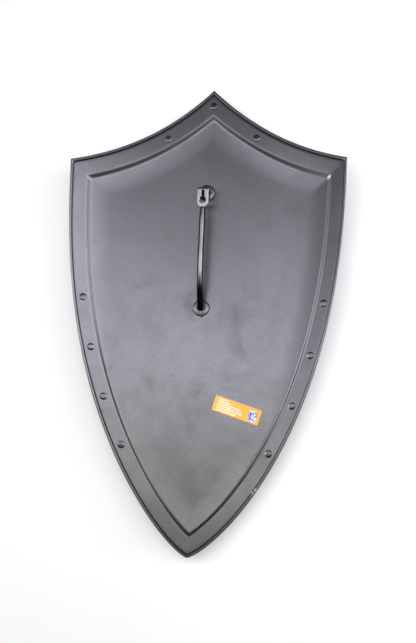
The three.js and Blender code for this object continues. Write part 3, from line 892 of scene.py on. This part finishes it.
def inside_of(x, y, polygon):
    following = np.roll(polygon, -1, axis=0)
    crosses = (polygon[:, 1] > y) != (following[:, 1] > y)
    lift = np.where(following[:, 1] == polygon[:, 1], 1, following[:, 1] - polygon[:, 1])
    crossing_x = (following[:, 0] - polygon[:, 0]) * (y - polygon[:, 1]) / lift + polygon[:, 0]
    return bool(np.sum(crosses & (x < crossing_x)) % 2)


def strip_path():
    """Middle line of the flattened end in (y, z), from the neck over the bend and down to the plate."""
    tilt = math.radians(PADDLE_TILT)
    top_z = field_z(UPPER_FOOT_Y, PADDLE_RISE)
    bend = PADDLE_BEND
    start = (PADDLE_FOOT_Y - 1.5, top_z - (UPPER_FOOT_Y - PADDLE_FOOT_Y + 1.5) * math.tan(tilt))
    before = (UPPER_FOOT_Y - bend * math.cos(tilt), top_z - bend * math.sin(tilt))
    after = (UPPER_FOOT_Y, top_z - bend)
    points = [start, before]
    for k in range(1, 12):
        t = k / 12
        corner = zip(before, (UPPER_FOOT_Y, top_z), after)
        points.append(tuple((1 - t) ** 2 * b + 2 * t * (1 - t) * c + t * t * a for b, c, a in corner))
    points += [after, (UPPER_FOOT_Y, field_z(UPPER_FOOT_Y, WASHER_THICKNESS * 0.7))]
    return np.array(points)


PADDLE_CELL = 0.42
PADDLE_SHOULDER = 9.0
PADDLE_EDGE = 0.8
NECK_HALF_WIDTH = 2.6


def paddle_half_width(s):
    half = PADDLE_WIDTH / 2
    t = max(0, 1 - s / PADDLE_SHOULDER)
    return NECK_HALF_WIDTH + (half - NECK_HALF_WIDTH) * math.sqrt(max(0, 1 - t**2.2))


def paddle_shape():
    """The flattened end as a thick strip of small cells around the keyhole, with rounded edges."""
    line = strip_path()
    lengths = np.concatenate([[0], np.cumsum(np.hypot(*np.diff(line, axis=0).T))])
    total = lengths[-1]
    rows = int(total / PADDLE_CELL)
    columns = 2 * int(PADDLE_WIDTH / PADDLE_CELL / 2)
    hole = keyhole_outline() + [0, 1.5]

    def plan(i, j):
        s = total * i / rows
        return paddle_half_width(s) * (2 * j / columns - 1), s

    def is_open(i, j):
        if not (0 <= i < rows and 0 <= j < columns):
            return False
        return not inside_of(*plan(i + 0.5, j + 0.5), hole)

    kept = {(i, j) for i in range(rows) for j in range(columns) if is_open(i, j)}
    beside_hole = set()
    for i in range(1, rows - 1):
        for j in range(1, columns - 1):
            if (i, j) not in kept:
                beside_hole |= {(i, j), (i + 1, j), (i, j + 1), (i + 1, j + 1)}

    def meets_kept(i, j):
        return any((i - a, j - b) in kept for a in (0, 1) for b in (0, 1))

    touching = {key for key in beside_hole if meets_kept(*key)}

    def lifted(key, side):
        x, s = plan(*key)
        if key in touching:
            gaps = np.hypot(hole[:, 0] - x, hole[:, 1] - s)
            x, s = hole[int(gaps.argmin())]
            to_edge = 0.0
        else:
            to_hole = float(np.min(np.hypot(hole[:, 0] - x, hole[:, 1] - s)))
            to_edge = min(to_hole, paddle_half_width(s) - abs(x))
        share = min(max(to_edge, 0) / PADDLE_EDGE, 1)
        thick = PADDLE_THICKNESS / 2 - PADDLE_EDGE + PADDLE_EDGE * math.sqrt(1 - (1 - share) ** 2)
        y, z = np.interp(s, lengths, line[:, 0]), np.interp(s, lengths, line[:, 1])
        near, far = max(s - 0.3, 0), min(s + 0.3, total)
        dy = np.interp(far, lengths, line[:, 0]) - np.interp(near, lengths, line[:, 0])
        dz = np.interp(far, lengths, line[:, 1]) - np.interp(near, lengths, line[:, 1])
        size = math.hypot(dy, dz)
        return Vector((HANDLE_X + x, y - dz / size * thick * side, z + dy / size * thick * side))

    verts, index, faces = [], {}, []

    def vertex(key, side):
        if (key, side) not in index:
            index[key, side] = len(verts)
            verts.append(lifted(key, side))
        return index[key, side]

    for i, j in sorted(kept):
        corners = [(i, j), (i, j + 1), (i + 1, j + 1), (i + 1, j)]
        faces.append([vertex(key, 1) for key in corners])
        faces.append([vertex(key, -1) for key in corners[::-1]])
        sides = (((i - 1, j), 0, 1), ((i, j + 1), 1, 2), ((i + 1, j), 2, 3), ((i, j - 1), 3, 0))
        for other, a, b in sides:
            if other not in kept:
                a, b = corners[a], corners[b]
                faces.append([vertex(b, 1), vertex(a, 1), vertex(a, -1), vertex(b, -1)])
    return verts, faces


def joined(shapes):
    verts, faces = [], []
    for more_verts, more_faces in shapes:
        start = len(verts)
        verts += list(more_verts)
        faces += [tuple(start + i for i in f) for f in more_faces]
    return verts, faces


# lean of the painted highlight along the rod's top
BRIGHT_LEAN = math.radians(8)


def build_rod(material):
    """A per-point value runs from 0 on the top of the rod to 1 on its sides and underside; it paints shade
    on the sides and underside and leaves a painted highlight along the top.
    """
    verts, faces = rod_shape()
    obj = mesh_object("handle_rod", [tuple(v * MM) for v in verts], faces, material, sharp=60)
    values = []
    for i in range(len(verts)):
        turn = 2 * math.pi * (i % ROD_SIDES) / ROD_SIDES
        is_below = math.sin(turn) < -0.01
        values.append(1.0 if is_below else abs(math.sin(math.pi / 2 - turn - BRIGHT_LEAN)))
    values = np.array(values, dtype=np.float32)
    obj.data.attributes.new("side_shade", "FLOAT", "POINT").data.foreach_set("value", values)
    return obj


def build_paddle(material):
    verts, faces = paddle_shape()
    placed = [tuple(v * MM) for v in verts]
    return mesh_object("handle_paddle", placed, faces, material, sharp=50, merge=0.01 * MM)


def foot_weld(material):
    """The run of weld around the rod's foot, on top of the lower washer."""
    spot = sheet_matrix(HANDLE_X, LOWER_FOOT_Y, THICKNESS)
    base = WASHER_THICKNESS + 0.1
    rises = ((0, -0.4), (6.4, -0.3), (6.5, 0), (5.9, 0.5), (5.1, 1.2), (4.5, 2.2), (3.6, 3.0), (0, 3.2))
    profile = [(radius, base + rise) for radius, rise in rises]
    verts, faces = lathe(profile, 48)
    placed = []
    for v in verts:
        turn = math.atan2(v[1], v[0])
        ripple = 1 + 0.07 * math.sin(9 * turn) + 0.06 * noise.noise(Vector((v[0] * 0.6, v[1] * 0.6, v[2])))
        placed.append(tuple((spot @ Vector((v[0] * ripple, v[1] * ripple * 0.78 + 0.3, v[2]))) * MM))
    return mesh_object("weld_foot", placed, faces, material, sharp=70)


# welds around each washer: way out in degrees from +X, distance out, radius and lift in millimetres
LOW_SPOTS = ((8, 10.6, 1.3, 0.9), (-14, 11.2, 0.9, 0.6), (-82, 11.0, 1.6, 0.8), (200, 10.9, 1.0, 0.6))
HIGH_SPOTS = (
    (20, 10.4, 1.3, 0.8),
    (2, 11.2, 1.1, 0.7),
    (-22, 10.8, 1.4, 0.8),
    (42, 10.2, 1.0, 0.8),
    (-50, 11.0, 1.2, 0.7),
    (160, 10.8, 1.2, 0.7),
)


def blob(centre, radius, seed):
    bm = bmesh.new()
    bmesh.ops.create_icosphere(bm, subdivisions=2, radius=radius)
    draw = random.Random(seed)
    shift = Vector((draw.uniform(-9, 9), draw.uniform(-9, 9), draw.uniform(-9, 9)))
    for v in bm.verts:
        v.co *= 1 + 0.25 * noise.noise(v.co / radius * 1.2 + shift)
        v.co.z *= 0.7
        v.co += centre
    verts = [v.co.copy() for v in bm.verts]
    faces = [tuple(v.index for v in f.verts) for f in bm.faces]
    bm.free()
    return verts, faces


def build_washer(name, foot_y, material):
    spot = sheet_matrix(HANDLE_X, foot_y, THICKNESS)
    top = WASHER_THICKNESS + 0.2
    profile = [
        (0, 0.05),
        (WASHER_RADIUS * 0.98, 0.05),
        (WASHER_RADIUS, 0.3),
        (WASHER_RADIUS, top - 0.45),
        (WASHER_RADIUS * 0.985, top - 0.18),
        (WASHER_RADIUS * 0.95, top),
        (0, top),
    ]
    verts, faces = lathe(profile, 64)
    placed = [tuple((spot @ Vector(v)) * MM) for v in verts]
    return mesh_object(name, placed, faces, material, sharp=50)


def build_welds(name, foot_y, spots, weld, seed):
    spot = sheet_matrix(HANDLE_X, foot_y, THICKNESS)
    parts = []
    for i, (turn, out, radius, lift) in enumerate(spots):
        angle = math.radians(turn)
        centre = spot @ Vector((out * math.cos(angle), out * math.sin(angle), lift))
        parts.append(blob(centre, radius, seed + i))
    verts, faces = joined(parts)
    return mesh_object(name, [tuple(v * MM) for v in verts], faces, weld, sharp=80)


# Paper sticker

def build_sticker(material):
    columns, rows = 66, 21
    verts, faces = [], []
    lean = math.cos(math.atan(math.hypot(*slope(STICKER_X, STICKER_Y))))
    for level in (0, 1):
        for j in range(rows + 1):
            for i in range(columns + 1):
                u = STICKER_LENGTH * (i / columns - 0.5)
                v = STICKER_WIDTH * (j / rows - 0.5)
                over_u = abs(u) - (STICKER_LENGTH / 2 - STICKER_CORNER)
                over_v = abs(v) - (STICKER_WIDTH / 2 - STICKER_CORNER)
                if over_u > 0 and over_v > 0:
                    reach = math.hypot(over_u, over_v)
                    k = max(over_u, over_v) / reach
                    u = math.copysign(abs(u) - over_u * (1 - k), u)
                    v = math.copysign(abs(v) - over_v * (1 - k), v)
                x = STICKER_X + u * math.cos(STICKER_TURN) * lean - v * math.sin(STICKER_TURN)
                y = STICKER_Y + u * math.sin(STICKER_TURN) * lean + v * math.cos(STICKER_TURN)
                curl = STICKER_CURL * max(0, abs(u) / (STICKER_LENGTH / 2) - 0.9)
                ripple = 0.05 * noise.noise(Vector((u / 9, v / 9, 2)))
                height = THICKNESS + STICKER_SEAT + STICKER_THICKNESS * level + curl + ripple
                verts.append((x * MM, y * MM, float(back_z(x, y, height)) * MM))
    row = columns + 1
    layer = row * (rows + 1)
    for j in range(rows):
        for i in range(columns):
            a = j * row + i
            faces.append((a, a + row, a + row + 1, a + 1))
            faces.append((a + layer, a + layer + 1, a + layer + row + 1, a + layer + row))
    rim = [i for i in range(columns)] + [j * row + columns for j in range(rows)]
    rim += [rows * row + i for i in range(columns, 0, -1)] + [j * row for j in range(rows, 0, -1)]
    for i, a in enumerate(rim):
        b = rim[(i + 1) % len(rim)]
        faces.append((a, b, b + layer, a + layer))
    return mesh_object("sticker_sheet", verts, faces, material, sharp=35)


# Stage, light and camera

STRIPS = (
    # name, middle x, middle y, length, width (millimetres), brightness
    ("strip_middle", 31, 74, 1390, 220, 2.5),
    ("strip_left", -993, 112, 778, 380, 2.0),
    ("strip_right", 949, 258, 620, 510, 3.1),
)
STRIP_HEIGHT = 1007
FILL_X, FILL_Y, FILL_Z = -100, 150, 2400
FILL_SIZE = 2600
FILL_BRIGHTNESS = 2.1
WORLD_COLOUR = (0.9, 0.93, 1.0, 1.0)
WORLD_STRENGTH = 0.035

# radius and height in metres
FLOOR_PROFILE = (
    (0, 0),
    (0.8, 0),
    (1.6, 0),
    (2.6, 0),
    (3.2, 0.06),
    (3.7, 0.3),
    (4.0, 0.75),
    (4.1, 1.5),
    (4.1, 2.6),
)
FLOOR_SIDES = 96

# place and axes in metres, and the lens for a frame 416 wide and 643 high
CAMERA_PLACE = Vector((0.20362, -0.12426, 1.02999))
CAMERA_RIGHT = Vector((0.98143, 0.05523, -0.1837))
CAMERA_UP = Vector((-0.03294, 0.99195, 0.12226))
CAMERA_BACK = Vector((0.18897, -0.11394, 0.97535))
SENSOR = 36
FRAME_HEIGHT = 643
FOCAL_PIXELS = 795.58

PANELS = (
    # name, x, middle y, middle z, length, height (millimetres), brightness, turn about Y in degrees
    ("panel_left", -1500, 10, 225, 520, 250, 14.0, -90),
    ("panel_right", 1500, 40, 560, 620, 700, 4.6, 90),
)


def add_stage():
    verts, faces = lathe(FLOOR_PROFILE, FLOOR_SIDES)
    floor = mesh_object("floor", verts, faces, floor_material(), sharp=80)
    return floor


def add_light(name, x, y, z, size_x, size_y, brightness, turn=(0, 0, 0)):
    data = bpy.data.lights.new(name, "AREA")
    data.shape = "RECTANGLE"
    data.size, data.size_y = size_x * MM, size_y * MM
    data.energy = brightness * math.pi * data.size * data.size_y
    light = bpy.data.objects.new(name, data)
    light.location = (x * MM, y * MM, z * MM)
    light.rotation_euler = turn
    light.visible_camera = False
    bpy.context.scene.collection.objects.link(light)
    return light


def add_lights():
    for name, x, y, length, width, brightness in STRIPS:
        add_light(name, x, y, STRIP_HEIGHT, length, width, brightness)
    for name, x, y, z, length, height, brightness, turn in PANELS:
        add_light(name, x, y, z, height, length, brightness, (0, math.radians(turn), 0))
    world = bpy.data.worlds.new("studio")
    world.use_nodes = True
    world.node_tree.nodes["Background"].inputs["Color"].default_value = WORLD_COLOUR
    world.node_tree.nodes["Background"].inputs["Strength"].default_value = WORLD_STRENGTH
    bpy.context.scene.world = world
    bpy.context.scene.view_settings.view_transform = "Standard"


def light_only(light, *objects):
    """The light reaches these objects alone, as a lamp with flags set beside it does."""
    group = bpy.data.collections.new(light.name + "_reaches")
    for obj in objects:
        group.objects.link(obj)
    light.light_linking.receiver_collection = group


def add_camera():
    data = bpy.data.cameras.new("camera")
    data.sensor_width = SENSOR
    data.lens = SENSOR * FOCAL_PIXELS / FRAME_HEIGHT
    camera = bpy.data.objects.new("camera", data)
    turn = Matrix((CAMERA_RIGHT, CAMERA_UP, CAMERA_BACK)).transposed().to_4x4()
    camera.matrix_world = Matrix.Translation(CAMERA_PLACE) @ turn
    bpy.context.scene.collection.objects.link(camera)
    bpy.context.scene.camera = camera


def dress(obj, node):
    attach(obj, "root")
    if node:
        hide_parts(node)


add_camera()
add_lights()
floor = add_stage()

plate_steel = plate_material()
rivet_steel = steel_material("rivet_steel", (0.24, 0.24, 0.27), (0.30, 0.30, 0.33), 0.30)
rod_steel = rod_material()
paddle_tones = (0.50, 0.50, 0.52), (0.62, 0.62, 0.65)
paddle_steel = steel_material("paddle_steel", *paddle_tones, 0.32, 700.0, (1.0, 0.3, 1.0))
washer_steel = washer_material("washer_steel", (0.30, 0.30, 0.32), (0.40, 0.40, 0.425), None)
# washer steel with painted shadow beside the paddle's bend
shadowed_washer_steel = washer_material("shadowed_washer_steel", (0.30, 0.30, 0.32), (0.38, 0.38, 0.405), (-12.0, 165.0))
weld_steel = weld_material()
sticker_paper = sticker_material()

dress(build_plate(plate_steel), "shield_plate")
rivets = sorted(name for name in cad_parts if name.startswith("rivet"))
for number, name in enumerate(rivets):
    add_rivet(name, rivet_steel, number)
dress(build_rod(rod_steel), "handle")
dress(build_paddle(paddle_steel), None)
dress(foot_weld(weld_steel), None)
dress(build_washer("washer_low", LOWER_FOOT_Y, washer_steel), "washer_lower")
dress(build_washer("washer_high", UPPER_FOOT_Y, shadowed_washer_steel), "washer_upper")
dress(build_welds("weld_low", LOWER_FOOT_Y, LOW_SPOTS, weld_steel, 11), None)
dress(build_welds("weld_high", UPPER_FOOT_Y, HIGH_SPOTS, weld_steel, 31), None)
sticker = build_sticker(sticker_paper)
dress(sticker, "sticker")
fill = add_light("fill", FILL_X, FILL_Y, FILL_Z, FILL_SIZE, FILL_SIZE, FILL_BRIGHTNESS)
light_only(fill, floor, sticker)
